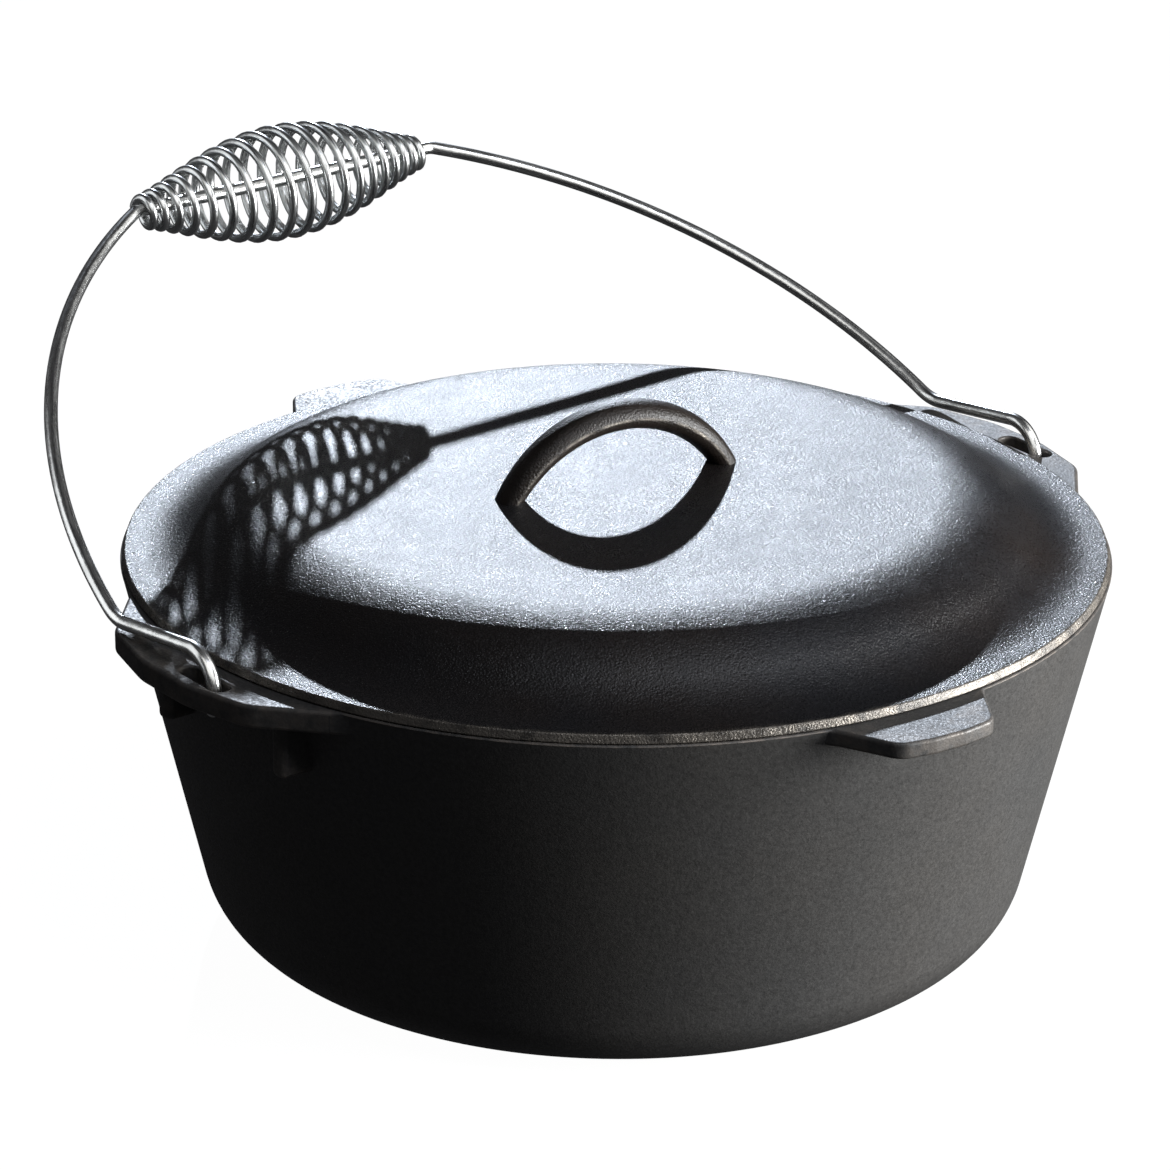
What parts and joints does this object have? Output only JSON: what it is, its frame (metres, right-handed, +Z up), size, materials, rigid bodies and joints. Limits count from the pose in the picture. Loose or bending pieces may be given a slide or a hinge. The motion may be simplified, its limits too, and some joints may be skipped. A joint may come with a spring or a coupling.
{
  "type": "dutch oven",
  "caption": "Round cast iron cooking pot with side lugs and assist tabs, a domed lid with a loop handle, and a swinging wire bail with a spiral wire grip.",
  "frame": {"origin": "centre of the pot's flat base, on the surface it stands on", "axes": "+Z up, +X along the bail's hinge axis from one lug to the other, +Y the way the bail leans at rest"},
  "size_m": [0.3706, 0.409, 0.234],
  "materials": {
    "pot_iron": "seasoned black, fine sand-cast grain",
    "lid_iron": "seasoned black, coarser sand-cast grain",
    "bail_steel": "bright drawn wire",
    "grip_steel": "bright coiled wire"
  },
  "bodies": {
    "pot": {"pot": "pot_iron"},
    "lid": {"lid": "lid_iron"},
    "bail": {"bail": "bail_steel"},
    "grip": {"spiral_grip": "grip_steel"}
  },
  "joints": [
    {"name": "lid_lift", "type": "slide", "parent": "pot", "child": "lid", "axis": [0, 0, 1], "range_m": [0, 0.06]},
    {"name": "bail_swing", "type": "hinge", "parent": "pot", "child": "bail", "pos_m": [0, -0.0062, 0.129], "axis": [1, 0, 0], "range_deg": [0, 115]},
    {"name": "grip_spin", "type": "hinge", "parent": "bail", "child": "grip", "pos_m": [-0.002, 0.19796, 0.21286], "axis": [1, 0, 0], "continuous": true}
  ]
}
